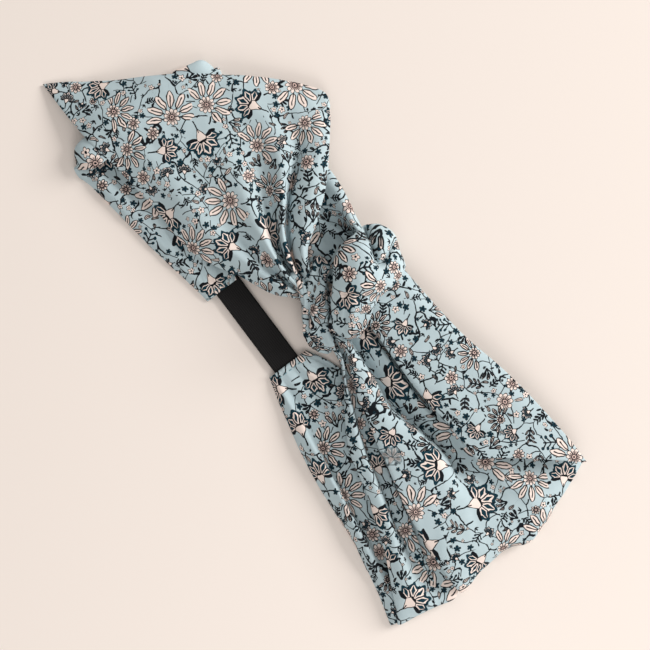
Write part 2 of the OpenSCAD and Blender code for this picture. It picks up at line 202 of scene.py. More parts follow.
RIGHT_FRONT = [
    [
        (13, 34, 7.5), (43, 38.5, 6.8), (82, 45.5, 6), (118, 50, 4.4),
        (129, 51.5, 2.8), (130.5, 51.5, 1.6), (129, 51, 0.8),
    ],
    [(14, 26, 8.5), (43, 29, 7), (82, 33, 6.6), (118, 38, 5.4), (133, 40, 4), (135.5, 40, 2.4), (133, 40, 1)],
    [
        (15, 21, 8.8), (43, 22, 6.4), (82, 24, 6), (118, 28, 6),
        (134, 31, 5.6), (138, 31, 3.2), (135.5, 31, 1.1),
    ],
    [
        (16, 15, 8.6), (43, 15, 4.8), (58, 15, 4.4), (70, 15, 3.8), (95, 15, 4), (106, 17, 6), (118, 20, 8),
        (131, 23.5, 8.6), (139.5, 24, 6.4), (141, 24, 3.6), (138.5, 24, 1.2),
    ],
    [
        (16.5, 12.4, 8.4), (43, 12.2, 4.6), (58, 12, 4.2), (66, 12.2, 3.6), (80, 12.6, 3), (95, 13, 3),
        (105, 14, 4.8), (118, 17, 7.4), (133, 19, 8.6), (141, 19, 6.8), (142.8, 18, 3.8), (139.5, 18, 1.2),
    ],
    [
        (17, 10, 8.8), (30, 9.6, 9.4), (43, 9.4, 9.8), (56, 9.2, 9.6), (64, 9.4, 8.4), (74, 10, 4.6),
        (92, 10.6, 2.8), (104, 11, 3.8), (118, 14, 6.8), (134, 15, 8.8), (142, 14, 7), (144.2, 12.5, 4),
        (141, 12, 1.2),
    ],
    [
        (17, 7, 8), (30, 6, 7.6), (43, 6, 7.4), (56, 5, 7), (66, 5.4, 5.6), (76, 7.4, 3), (92, 8.4, 2.6),
        (103, 8, 3.8), (118, 10, 7.2), (134, 11.5, 9), (141.5, 11, 7), (144, 10.5, 4), (140.8, 10, 1.2),
    ],
    [
        (17, 4, 6.4), (26, 2.6, 5), (38, 1.8, 3.8), (46, 1.6, 3.2), (54, 0, 2.8), (61, -0.2, 2.8),
        (69, 1.8, 2.8), (77, 4.4, 2.8), (84, 5.6, 2.8), (92, 7, 3), (102, 5, 5), (118, 6, 8.6),
        (134, 8, 9.2), (141, 8, 7.2), (143.6, 9, 4), (140.5, 8, 1.2),
    ],
    [
        (16.5, 0.5, 9.5), (26, -0.4, 10.6), (38, -1.2, 11.4), (46, -1.8, 12), (54, -3.6, 12.6), (61, -4, 13),
        (69, -2.2, 13.4), (77, 0.4, 13.4), (84, 1.4, 13), (93, 2, 12.2), (104, 1, 11.4), (118, 1, 10.8),
        (132, 3, 9.8), (139.5, 4.5, 7.4), (141.2, 5, 4), (138.5, 5, 1.2),
    ],
    [
        (16, -1.5, 9.5), (30, -1.8, 11.4), (43, -5.2, 13.2), (60, -8.5, 14.2), (82, -9, 14.2),
        (104, -11, 13), (132, -11, 10.8), (139.5, -11, 7.4), (141.5, -11, 4), (138.5, -11, 1.2),
    ],
    [
        (15, -3, 9), (28, -2.5, 10.4), (40, -8, 12), (60, -13.5, 12.6), (82, -19, 12.4),
        (104, -23.5, 12), (132, -26, 10.4), (141, -26, 7), (143.5, -26, 4), (140, -26, 1.2),
    ],
    [
        (15, -1, 7.6), (28, 0, 7.6), (40, -4.5, 7.4), (60, -8, 7.2), (82, -13.5, 7),
        (104, -18, 7), (130, -21, 6.8), (137, -22, 6), (138.5, -22, 3.8), (136, -22, 1.2),
    ],
    [
        (14.5, -3, 6.4), (28, -3, 5.4), (40, -8.5, 3.4), (60, -13, 2.4), (82, -18.5, 2.3),
        (104, -23.5, 2.6), (132, -28, 4.2), (142, -29, 4.4), (144.3, -29.5, 3.4), (141, -29.5, 1.2),
    ],
    [
        (14, -4, 6.8), (28, -4.5, 6.4), (40, -10, 4.4), (60, -17.5, 2.6), (82, -24, 2.3),
        (104, -30, 2.7), (132, -35.5, 4.6), (141.5, -36, 4.6), (143.2, -36, 3.4), (140, -36, 1.2),
    ],
    [
        (14, -5, 7.6), (28, -5.5, 9.2), (40, -11.5, 10.8), (60, -21, 11.4), (82, -27.5, 11),
        (104, -34.5, 10), (132, -42, 7.6), (140, -42.5, 5.6), (141.6, -42.5, 3.4), (139, -42, 1.2),
    ],
    [
        (13.5, -7, 7), (28, -7, 7.8), (36, -9.5, 8.6), (45, -15.8, 9.2), (55, -22.5, 9.6), (66, -28, 9.4),
        (80, -31.5, 9), (104, -40, 7.8), (130, -52, 5.2), (137, -55.5, 3.6), (138.8, -56.5, 2.4),
        (136.5, -56, 1),
    ],
    [
        (13.5, -5, 5.8), (28, -5, 6), (36, -7, 6), (45, -12, 6), (55, -18.5, 5.8), (66, -24, 5.8),
        (80, -27.5, 5.4), (104, -35, 5), (129, -45, 4.4), (135, -47, 3.6), (136.5, -47.5, 2.4),
        (134.5, -47.5, 1),
    ],
    [
        (14, -3, 5), (28, -2, 5), (45, -6, 4.8), (66, -15, 4.4), (104, -24.5, 4.4),
        (128, -31, 4.2), (134, -32.5, 3.6), (135.5, -32.5, 2.4), (133.5, -32.5, 1),
    ],
]
LEFT_FRONT = [
    [
        (0, 34.5, 10), (-9, 35, 11.5), (-17, 36.2, 11.5), (-25, 38, 10), (-36, 39.5, 8),
        (-54, 37.5, 6.6), (-80, 31.5, 6.2), (-101, 24.5, 6),
    ],
    [
        (1, 33, 12), (-9.5, 33.4, 14.5), (-17, 33.8, 14.2), (-24, 35, 12),
        (-34, 36, 9), (-46, 33.5, 7.6), (-71, 26.5, 7.2), (-101, 19.5, 7.4),
    ],
    [(2, 31, 6), (-10, 30.5, 5), (-20, 29, 4.6), (-30, 29, 5.6), (-49, 24.5, 6.6), (-101, 13, 7.4)],
    [(2, 28, 8), (-11, 28, 7.8), (-20, 24, 6.8), (-49, 16, 7.2), (-101, 4, 7.6)],
    [(2, 24, 6), (-12, 24.5, 4.8), (-20, 19, 4.2), (-34, 12, 6), (-49, 6, 6.8), (-101, -7, 7.6)],
    [(2, 18, 7), (-13.5, 18, 4.6), (-22, 11.5, 5), (-53, -6, 7), (-101, -22.5, 7.4)],
    [(2, 10.5, 7), (-16, 5, 4.8), (-36, -8, 6), (-62, -20, 6.2), (-101, -35.5, 6.8)],
]
LEFT_TAIL = [
    [
        (1, -4, 8.8), (-4, -7, 9), (-10, -12.5, 9), (-20, -17.5, 7.6), (-27, -20.5, 6.6), (-35, -25.5, 5.8),
        (-45, -30, 5.2), (-75, -32.5, 5.2), (-95, -35, 6.4), (-111, -37.5, 8.4), (-123, -38.5, 5.5),
        (-146.9, -39.2, 0.9),
    ],
    [
        (0, -3, 10.5), (-12.5, -8, 12.8), (-27, -14, 12), (-45, -19, 11.4), (-71, -20, 10.8),
        (-97, -22, 10.4), (-115, -24, 9.8), (-127, -27, 5.5), (-143.5, -33.5, 1.1),
    ],
    [
        (-1, -2, 9.4), (-13, -5.8, 8.8), (-27, -7, 9), (-45, -9, 10), (-71, -7.5, 10.4),
        (-102, -7.5, 10.2), (-117, -9, 9), (-129, -13.5, 4.2),
    ],
    [
        (-2, -1.5, 12), (-14, -3.5, 14.6), (-27, -2.5, 15), (-45, 2, 14.2), (-60, 6, 12.8), (-80, 9, 11),
        (-97, 8, 10.4), (-113, 3.5, 9.6), (-119.5, 1.5, 8),
    ],
    [
        (-2, -1, 9.6), (-15, -0.8, 7.6), (-28, 2, 7.4), (-42, 8.5, 7.8), (-58, 15.5, 8.6),
        (-75, 21, 9.8), (-92, 20, 9.8), (-111, 14.5, 8.8),
    ],
    [
        (-2.5, 0, 12.5), (-16, 1, 14.8), (-29, 6, 15.2), (-41, 15, 14.4), (-54, 24, 13),
        (-70, 30, 11), (-85, 29, 10), (-101, 27, 8),
    ],
    [
        (-3, 1, 9.4), (-17, 2.8, 7.6), (-30, 9.5, 7.2), (-41, 18.5, 7.4), (-50, 30, 8.2),
        (-62, 38, 9.2), (-78, 38.5, 8.8), (-92.5, 37.5, 7),
    ],
    [
        (-3.5, 2, 12), (-18.5, 5.2, 12.4), (-31.5, 13, 12.8), (-42, 23, 12.6),
        (-52, 36, 11.4), (-64, 44.5, 9.6), (-84, 46.5, 6),
    ],
    [
        (-4, 2.5, 13.6), (-19, 9.5, 15.6), (-30, 21, 15.8), (-41, 32.5, 14.4),
        (-52, 43.5, 11.8), (-62, 50, 9), (-76, 53.5, 5.4),
    ],
    [
        (-4.5, 3.5, 13), (-18.5, 11.5, 13.6), (-25.5, 22, 13.6), (-33.5, 32, 12.4), (-41, 39.5, 11.2),
        (-49.5, 46, 9.4), (-57, 52.5, 7.2), (-66.5, 58.2, 4.8),
    ],
    [
        (-4, 4, 11), (-21, 11.5, 10.8), (-29.5, 23, 10.6), (-39, 34, 9.8),
        (-49.5, 44, 8.2), (-57, 51, 6.2), (-62.5, 56.5, 4),
    ],
]
RIGHT_TAIL = [
    [(15, 36, 9.8), (43, 39, 9.4), (82, 45.5, 9), (124, 49.5, 7.8)],
    [(16, 25, 9.8), (43, 27, 9.4), (82, 30, 9.4), (112, 33, 10)],
    [(18.5, 15, 10.4), (43, 15.2, 9.6), (70, 15.4, 9.6), (90, 16, 10.6), (101.5, 17.5, 11.6)],
    [(18.5, 12.9, 11.2), (43, 12.5, 10.7), (65, 12.7, 10.8), (82, 13.9, 11.2), (100, 14.8, 12)],
    [(18.5, 12.9, 12.3), (43, 12.3, 12.1), (65, 12.6, 12.1), (82, 13.9, 12.4), (100, 14.8, 12.8)],
    [(18.5, 15, 13), (43, 15, 13), (82, 16.5, 13.2), (102, 18, 13.4)],
    [(16.5, 26, 14), (43, 28, 13.6), (82, 31.5, 13), (113, 32.5, 12.8)],
    [(15, 36, 12.8), (43, 38.5, 12.4), (82, 45, 11.8), (126, 47.5, 10.6)],
    [
        (14, 39, 11.2), (28, 40, 11), (50, 42, 10.8), (80, 48.3, 10.4),
        (104, 51.3, 9.8), (120, 52.5, 9.2), (130.5, 52.5, 8.6),
    ],
]
KNOT_WRAP = [
    [
        (-2, 30, 8), (-6, 34.5, 11), (-6, 32, 13.5), (-6.5, 26, 15), (-4, 19.5, 16),
        (2, 13, 16), (8, 7.5, 14), (13.5, 3, 11.5), (19, -0.5, 8), (20.5, 0, 5),
    ],
    [
        (-4, 30, 6), (-10.5, 36, 12.5), (-10, 32, 16.5), (-10, 25, 18.5), (-7, 18, 19.5),
        (0, 11.5, 19.5), (6, 6.5, 18), (11.5, 2.2, 16.5), (16.5, -0.8, 13), (17.5, -0.2, 7),
    ],
    [
        (-2, 36, 5), (-9, 40, 12.5), (-6.5, 36, 19.5), (-4.5, 28, 22.5), (0, 20, 24),
        (6, 13, 23.5), (12, 7, 21.5), (17, 2.4, 18.5), (20.8, -0.4, 13.5), (20.5, 0.4, 7),
    ],
    [
        (2, 39.5, 5), (-2, 44.5, 11.5), (0, 40, 19.5), (3, 31, 24.2), (8, 21.5, 25.7),
        (13, 14, 24.6), (18, 8, 21.8), (21.6, 3.9, 18.5), (24.2, 1.5, 13.5), (23.2, 2.2, 7),
    ],
    [
        (10, 37, 5), (6, 43, 11), (8, 39, 17.5), (10, 31, 22), (13.5, 22.5, 23.5),
        (17.5, 15.5, 22.5), (21.5, 9.5, 19.2), (24, 6.2, 16.2), (25.6, 4.2, 12), (24.2, 4.6, 6.5),
    ],
    [
        (16, 33, 6), (14, 39.5, 10.5), (16.5, 36, 14), (17.5, 30, 16.5), (18, 23, 18),
        (21, 16.5, 17.5), (24.5, 11.5, 14.8), (26, 8.4, 13), (26.6, 6.4, 10), (25.4, 6.4, 6),
    ],
    [
        (13, 33, 5), (11.5, 38, 9), (13.5, 35, 12), (14.5, 29, 14.8), (15, 22.5, 15.2),
        (18, 16.5, 14.6), (21.5, 11.5, 12), (23.4, 8.6, 10.5), (24.4, 6.8, 8), (23.8, 6.6, 5.5),
    ],
]
# Creases pressed into the strap: line in mm, depth and width in mm
WRAP_CREASES = [
    ([(-3.5, 34.3), (1, 32.6), (4.7, 31.3), (7.3, 30.7)], 6.5, 1.6),
    ([(2.7, 42.6), (4.8, 38.5), (6.2, 34.7), (7.3, 30.7)], 5, 1.4),
    ([(-10.5, 37), (-7, 35), (-3.5, 34.3)], 7.5, 1.8),
    ([(17, 21.5), (11, 15), (6, 9.5)], 2.4, 1.8),
    ([(11, 10.4), (16, 6.5), (20.4, 2.3)], 2, 1.6),
]
# Strands of bunched cloth: path in mm, half width and half height in mm, folds round it, turns of twist
KNOT_UPPER = (
    [
        (-11.5, 12.5, 7), (-8.5, 10, 9.5), (-4, 6.5, 10.8), (3, 1, 11),
        (9, -4, 9.8), (16, -6.5, 8.4), (23, -6, 6.8),
    ],
    5.6, 5.5, 4, 0.5,
)
KNOT_LOWER = (
    [(-11, 2, 7), (-6, -0.5, 9.5), (0, -3, 9.5), (6, -6, 8.5), (12, -9.5, 7), (18, -10, 6), (24, -7, 5.5)],
    4.0, 4.6, 3, 0.4,
)
KNOT_CORE = (
    [(-2.5, 36, 8), (2, 30, 11), (7, 19.5, 12), (13, 9, 11), (17.5, 3, 8.5), (21, -1.5, 6.5)],
    9.0, 7.0, 4, 0.4,
)
LEFT_NECK = ([(-12.5, -1, 11), (-6, -1.5, 11.5), (0, -2, 11)], 3.5, 2.6, 3, 0.2)
RIGHT_NECK = ([(14, 26.5, 11), (19.5, 27.5, 11.6), (25.5, 28, 11.6)], 6.2, 1.4, 2, 0.1)


def spline(points, n):
    """n points along a smooth curve through the given ones, evenly spaced by chord length."""
    p = np.asarray(points, float)
    step = np.maximum(np.linalg.norm(np.diff(p, axis=0), axis=1), 1e-6)
    t = np.concatenate([[0.0], np.cumsum(step)])
    slope = np.diff(p, axis=0) / step[:, None]
    m = np.empty_like(p)
    m[0], m[-1] = slope[0], slope[-1]
    if len(p) > 2:
        w = step[1:] / (step[1:] + step[:-1])
        m[1:-1] = slope[:-1] * w[:, None] + slope[1:] * (1 - w[:, None])
    q = np.linspace(0, t[-1], n)
    k = np.clip(np.searchsorted(t, q, side="right") - 1, 0, len(p) - 2)
    f = ((q - t[k]) / step[k])[:, None]
    h = step[k][:, None]
    return (
        p[k] * (1 + 2 * f) * (1 - f) ** 2
        + m[k] * h * f * (1 - f) ** 2
        + p[k + 1] * f * f * (3 - 2 * f)
        - m[k + 1] * h * f * f * (1 - f)
    )


def loft(lines, grain=GRAIN):
    """A grid of points on the cloth that passes through the guide lines, which all run the same way."""
    rough = [np.asarray(line, float) * MM for line in lines]
    lengths = [np.linalg.norm(np.diff(r, axis=0), axis=1).sum() for r in rough]
    nu = max(LEAST_POINTS, int(max(lengths) / grain))
    along = np.stack([spline(r, nu) for r in rough])
    across = np.linalg.norm(np.diff(along, axis=0), axis=2).sum(0).max()
    nv = max(LEAST_POINTS, int(across / grain))
    return np.stack([spline(along[:, i], nv) for i in range(nu)])


def strand(path, half_w, half_h, folds, twist):
    """A strand of bunched cloth: an oval section along a path, with folds that wind round it."""
    p = spline(np.asarray(path, float) * MM, STRAND_RINGS)
    d = np.gradient(p, axis=0)
    d /= np.linalg.norm(d, axis=1, keepdims=True)
    side = np.cross(d, [0.0, 0.0, 1.0])
    side /= np.linalg.norm(side, axis=1, keepdims=True)
    up = np.cross(side, d)
    a = np.linspace(-np.pi / 2, 1.5 * np.pi, STRAND_SIDES, endpoint=False)
    t = np.linspace(0, 1, STRAND_RINGS)
    filled = np.clip(np.minimum(t, 1 - t) / STRAND_TAPER, 0.0, 1.0) ** 0.5
    girth = STRAND_TIP + (1 - STRAND_TIP) * filled
    winding = np.sin(folds * (a[None] / 2 + np.pi * twist * t[:, None]))
    r = girth[:, None] * (1 - STRAND_CREASE * np.abs(winding) ** 0.6)
    return (
        p[:, None]
        + side[:, None] * (half_w * MM * r * np.cos(a))[..., None]
        + up[:, None] * (half_h * MM * r * np.sin(a))[..., None]
    )


def wave_noise(x, y, seed, waves=7):
    """Smooth noise of about unit height, from sine waves of many directions."""
    rng = np.random.default_rng(seed)
    z = np.zeros_like(x)
    for _ in range(waves):
        a, f, ph = rng.uniform(0, 2 * np.pi), rng.uniform(0.6, 1.6), rng.uniform(0, 2 * np.pi)
        z += np.sin((x * np.cos(a) + y * np.sin(a)) * f * 2 * np.pi + ph)
    return z / waves**0.5


def crumple(grid, height, size, seed, stretch=2.5, fine=2.2, fine_height=0.4):
    """Lifts a grid by soft wrinkles along it and finer ones, but not into the table; height, size in mm."""
    du = np.linalg.norm(np.diff(grid, axis=0), axis=2).mean() / MM
    dv = np.linalg.norm(np.diff(grid, axis=1), axis=2).mean() / MM
    i, j = np.meshgrid(np.arange(grid.shape[0]) * du, np.arange(grid.shape[1]) * dv, indexing="ij")
    lift = wave_noise(i / (size * stretch), j / size, seed)
    lift += fine_height * wave_noise(i / size, j / size * fine, seed + 1)
    n = np.cross(np.gradient(grid, axis=0), np.gradient(grid, axis=1))
    n /= np.maximum(np.linalg.norm(n, axis=2, keepdims=True), 1e-12)
    grid = grid + n * (lift * height * MM)[..., None]
    grid[..., 2] = np.maximum(grid[..., 2], LOWEST)
    return grid


def creased(grid, creases, points=40, end_share=0.3, rise=4):
    """Presses creases into a grid from above: full depth along the line, less of it towards both ends."""
    flat = grid[..., :2].reshape(-1, 2) / MM
    drop = np.zeros(len(flat))
    for line, depth, width in creases:
        path = spline(line, points)
        off = np.linalg.norm(flat[:, None] - path[None], axis=2)
        near = off.argmin(1) / (points - 1)
        inward = np.minimum(near, 1 - near)
        drop += depth * np.exp(-off.min(1) / width) * np.minimum(end_share + rise * inward, 1.0)
    grid = grid.copy()
    grid[..., 2] = np.maximum(grid[..., 2] - drop.reshape(grid.shape[:2]) * MM, LOWEST)
    return grid


def add_mesh(name, verts, faces):
    """A new smooth mesh object in the scene."""
    me = bpy.data.meshes.new(name)
    me.from_pydata([tuple(v) for v in verts], [], faces)
    me.shade_smooth()
    ob = bpy.data.objects.new(name, me)
    bpy.context.scene.collection.objects.link(ob)
    return ob


def grid_mesh(name, grid, closed=False):
    """A mesh of quads through a grid of points; closed joins its last column to the first."""
    nu, nv = grid.shape[:2]
    faces = [
        (i * nv + j, (i + 1) * nv + j, (i + 1) * nv + (j + 1) % nv, i * nv + (j + 1) % nv)
        for i in range(nu - 1)
        for j in range(nv if closed else nv - 1)
    ]
    return add_mesh(name, grid.reshape(-1, 3), faces)


def unwrap(ob):
    """Lays a mesh flat by Blender's own unwrapping, at no particular size."""
    ob.data.uv_layers.active = ob.data.uv_layers.new(name="print")
    bpy.ops.object.select_all(action="DESELECT")
    ob.select_set(True)
    bpy.context.view_layer.objects.active = ob
    bpy.ops.object.mode_set(mode="EDIT")
    bpy.ops.mesh.select_all(action="SELECT")
    bpy.ops.uv.unwrap(method="ANGLE_BASED", fill_holes=False, correct_aspect=False, margin=0)
    bpy.ops.object.mode_set(mode="OBJECT")


def flat_map(ob, turn, shift):
    """The cloth laid flat, in metres, so that the print keeps its size over the folds."""
    unwrap(ob)
    me = ob.data
    layer = me.uv_layers["print"]
    n = len(me.loops)
    uv, vert, co = np.empty(2 * n), np.empty(n, int), np.empty(3 * len(me.vertices))
    layer.data.foreach_get("uv", uv)
    me.loops.foreach_get("vertex_index", vert)
    me.vertices.foreach_get("co", co)
    uv = uv.reshape(-1, 2)
    co = co.reshape(-1, 3)[vert]
    # scale to real size by area
    a, b = uv.reshape(-1, 4, 2), co.reshape(-1, 4, 3)
    e, f = a[:, 2] - a[:, 0], a[:, 3] - a[:, 1]
    flat = np.abs(e[:, 0] * f[:, 1] - e[:, 1] * f[:, 0]).sum()
    real = np.linalg.norm(np.cross(b[:, 2] - b[:, 0], b[:, 3] - b[:, 1]), axis=1).sum()
    uv = (uv - uv.mean(0)) * (real / flat) ** 0.5
    # line up with the table, so that turn means the same on each piece
    m = uv.T @ (co[:, :2] - co[:, :2].mean(0))
    angle = math.atan2(m[0, 1] - m[1, 0], m[0, 0] + m[1, 1]) + math.radians(turn)
    rot = np.array([[math.cos(angle), math.sin(angle)], [-math.sin(angle), math.cos(angle)]])
    layer.data.foreach_set("uv", (uv @ rot + np.array(shift)).ravel())


def strip_map(ob, grid, closed=False):
    """The same map for a strand or a band, straight from its length and girth."""
    nu = grid.shape[0]
    ring = np.concatenate([grid, grid[:, :1]], 1) if closed else grid
    along = np.concatenate([[0], np.cumsum(np.linalg.norm(np.diff(grid, axis=0), axis=2).mean(1))])
    across = np.concatenate([[0], np.cumsum(np.linalg.norm(np.diff(ring, axis=1), axis=2).mean(0))])
    i, j = np.meshgrid(np.arange(nu - 1), np.arange(ring.shape[1] - 1), indexing="ij")
    corners = [(i, j), (i + 1, j), (i + 1, j + 1), (i, j + 1)]
    uv = np.stack([np.stack([along[p].ravel(), across[q].ravel()], 1) for p, q in corners], 1)
    ob.data.uv_layers.new(name="print").data.foreach_set("uv", uv.ravel())


def plies(ob, thick):
    """Gives a sheet its thickness, half to each side."""
    solid = ob.modifiers.new("plies", "SOLIDIFY")
    solid.thickness, solid.offset = thick, 0.0


def linear(rgb):
    """The linear colour of a shade given in sRGB, 0 to 255."""
    c = [v / 255 for v in rgb]
    return tuple(v / 12.92 if v <= 0.04045 else ((v + 0.055) / 1.055) ** 2.4 for v in c) + (1.0,)


def material(name, rgb, traits):
    """A material of one shade, with traits by the names of the Principled shader's inputs."""
    mat = bpy.data.materials.new(name)
    mat.use_nodes = True
    skin = mat.node_tree.nodes["Principled BSDF"]
    skin.inputs["Base Color"].default_value = linear(rgb)
    for trait, value in traits.items():
        skin.inputs[trait].default_value = value
    return mat


def add_node(tree, kind, inputs, **settings):
    """A shader node; inputs pairs a socket's name or number with its value or the source that feeds it."""
    node = tree.nodes.new("ShaderNode" + kind)
    for setting, value in settings.items():
        setattr(node, setting, value)
    for key, source in dict(inputs).items():
        if isinstance(source, Val):
            source = source.out
        if isinstance(source, bpy.types.NodeSocket):
            tree.links.new(source, node.inputs[key])
        else:
            node.inputs[key].default_value = source
    return node


def feed(tree, trait, source):
    """Links a source to an input of the material's Principled shader."""
    tree.links.new(source, tree.nodes["Principled BSDF"].inputs[trait])


def flat_place(tree):
    """The place on the flat cloth, in metres."""
    return add_node(tree, "UVMap", {}, uv_map="print").outputs[0]


def mixed(tree, share, low, high):
    """A colour between low, where share is 0, and high, where it is 1."""
    sockets = {MIX_SHARE: share, MIX_LOW: low, MIX_HIGH: high}
    return add_node(tree, "Mix", sockets, data_type="RGBA").outputs[MIX_COLOUR]


def waves(tree, place, direction, scale, distortion):
    """Bands of soft waves across a direction, from 0 to 1."""
    sockets = {"Vector": place, "Scale": scale, "Distortion": distortion, "Detail": 1.0}
    node = add_node(tree, "TexWave", sockets, wave_type="BANDS", bands_direction=direction)
    return Val(tree, node.outputs["Fac"])


def bumps(tree, height, strength, distance):
    """Raises the surface by a height from 0 to 1, over a distance in metres."""
    node = add_node(tree, "Bump", {"Strength": strength, "Distance": distance, "Height": height})
    feed(tree, "Normal", node.outputs[0])


def strayed(tree, place, near, scale, detail, reach):
    """A place moved by smooth noise, by up to reach along x and y; near is where the noise is read."""
    sockets = {"Vector": near, "Scale": scale, "Detail": detail}
    noise = add_node(tree, "TexNoise", sockets, noise_dimensions="2D")
    terms = (noise.outputs["Color"], (reach, reach, 0.0), place)
    return add_node(tree, "VectorMath", enumerate(terms), operation="MULTIPLY_ADD").outputs[0]


class Val:
    """One number inside a shader, so that the print can be written as plain arithmetic."""

    def __init__(self, tree, out):
        self.tree, self.out = tree, out

    def calc(self, kind, *terms, clamp=False):
        node = add_node(self.tree, "Math", enumerate(terms), operation=kind, use_clamp=clamp)
        return Val(self.tree, node.outputs[0])

    def __add__(self, o):
        return self.calc("ADD", self, o)

    def __sub__(self, o):
        return self.calc("SUBTRACT", self, o)

    def __rsub__(self, o):
        return self.calc("SUBTRACT", o, self)

    def __mul__(self, o):
        return self.calc("MULTIPLY", self, o)

    def __truediv__(self, o):
        return self.calc("DIVIDE", self, o)

    def __abs__(self):
        return self.calc("ABSOLUTE", self)

    def __round__(self):
        return self.calc("ROUND", self)

    def root(self):
        return self.calc("SQRT", self)

    def sin(self):
        return self.calc("SINE", self)

    def cos(self):
        return self.calc("COSINE", self)

    def min(self, o):
        return self.calc("MINIMUM", self, o)

    def max(self, o):
        return self.calc("MAXIMUM", self, o)

    def share(self):
        """The number kept between 0 and 1."""
        return self.calc("MULTIPLY", self, 1.0, clamp=True)

    def over(self, o, soft=SOFT):
        """1 where self is above o and 0 below it, with a soft edge."""
        return self.calc("MULTIPLY_ADD", self - o, 1.0 / soft, 0.5, clamp=True)

    def under(self, o, soft=SOFT):
        """1 where self is below o and 0 above it, with a soft edge."""
        return self.calc("MULTIPLY_ADD", self - o, -1.0 / soft, 0.5, clamp=True)

    def fold(self, step):
        """Distance to the nearest multiple of step, with its sign."""
        return self - round(self / step) * step


def polar(x, y):
    """Distance from a motif's middle, and the angle from its own up."""
    return (x * x + y * y).root(), x.calc("ARCTAN2", x, y)


def picks(chance, *ends):
    """A mask for each kind of motif, by the ends between which a chance number falls."""
    bounds = (-1.0, *ends, 2.0)
    return [chance.over(a, SHARP) * chance.under(b, SHARP) for a, b in zip(bounds, bounds[1:])]


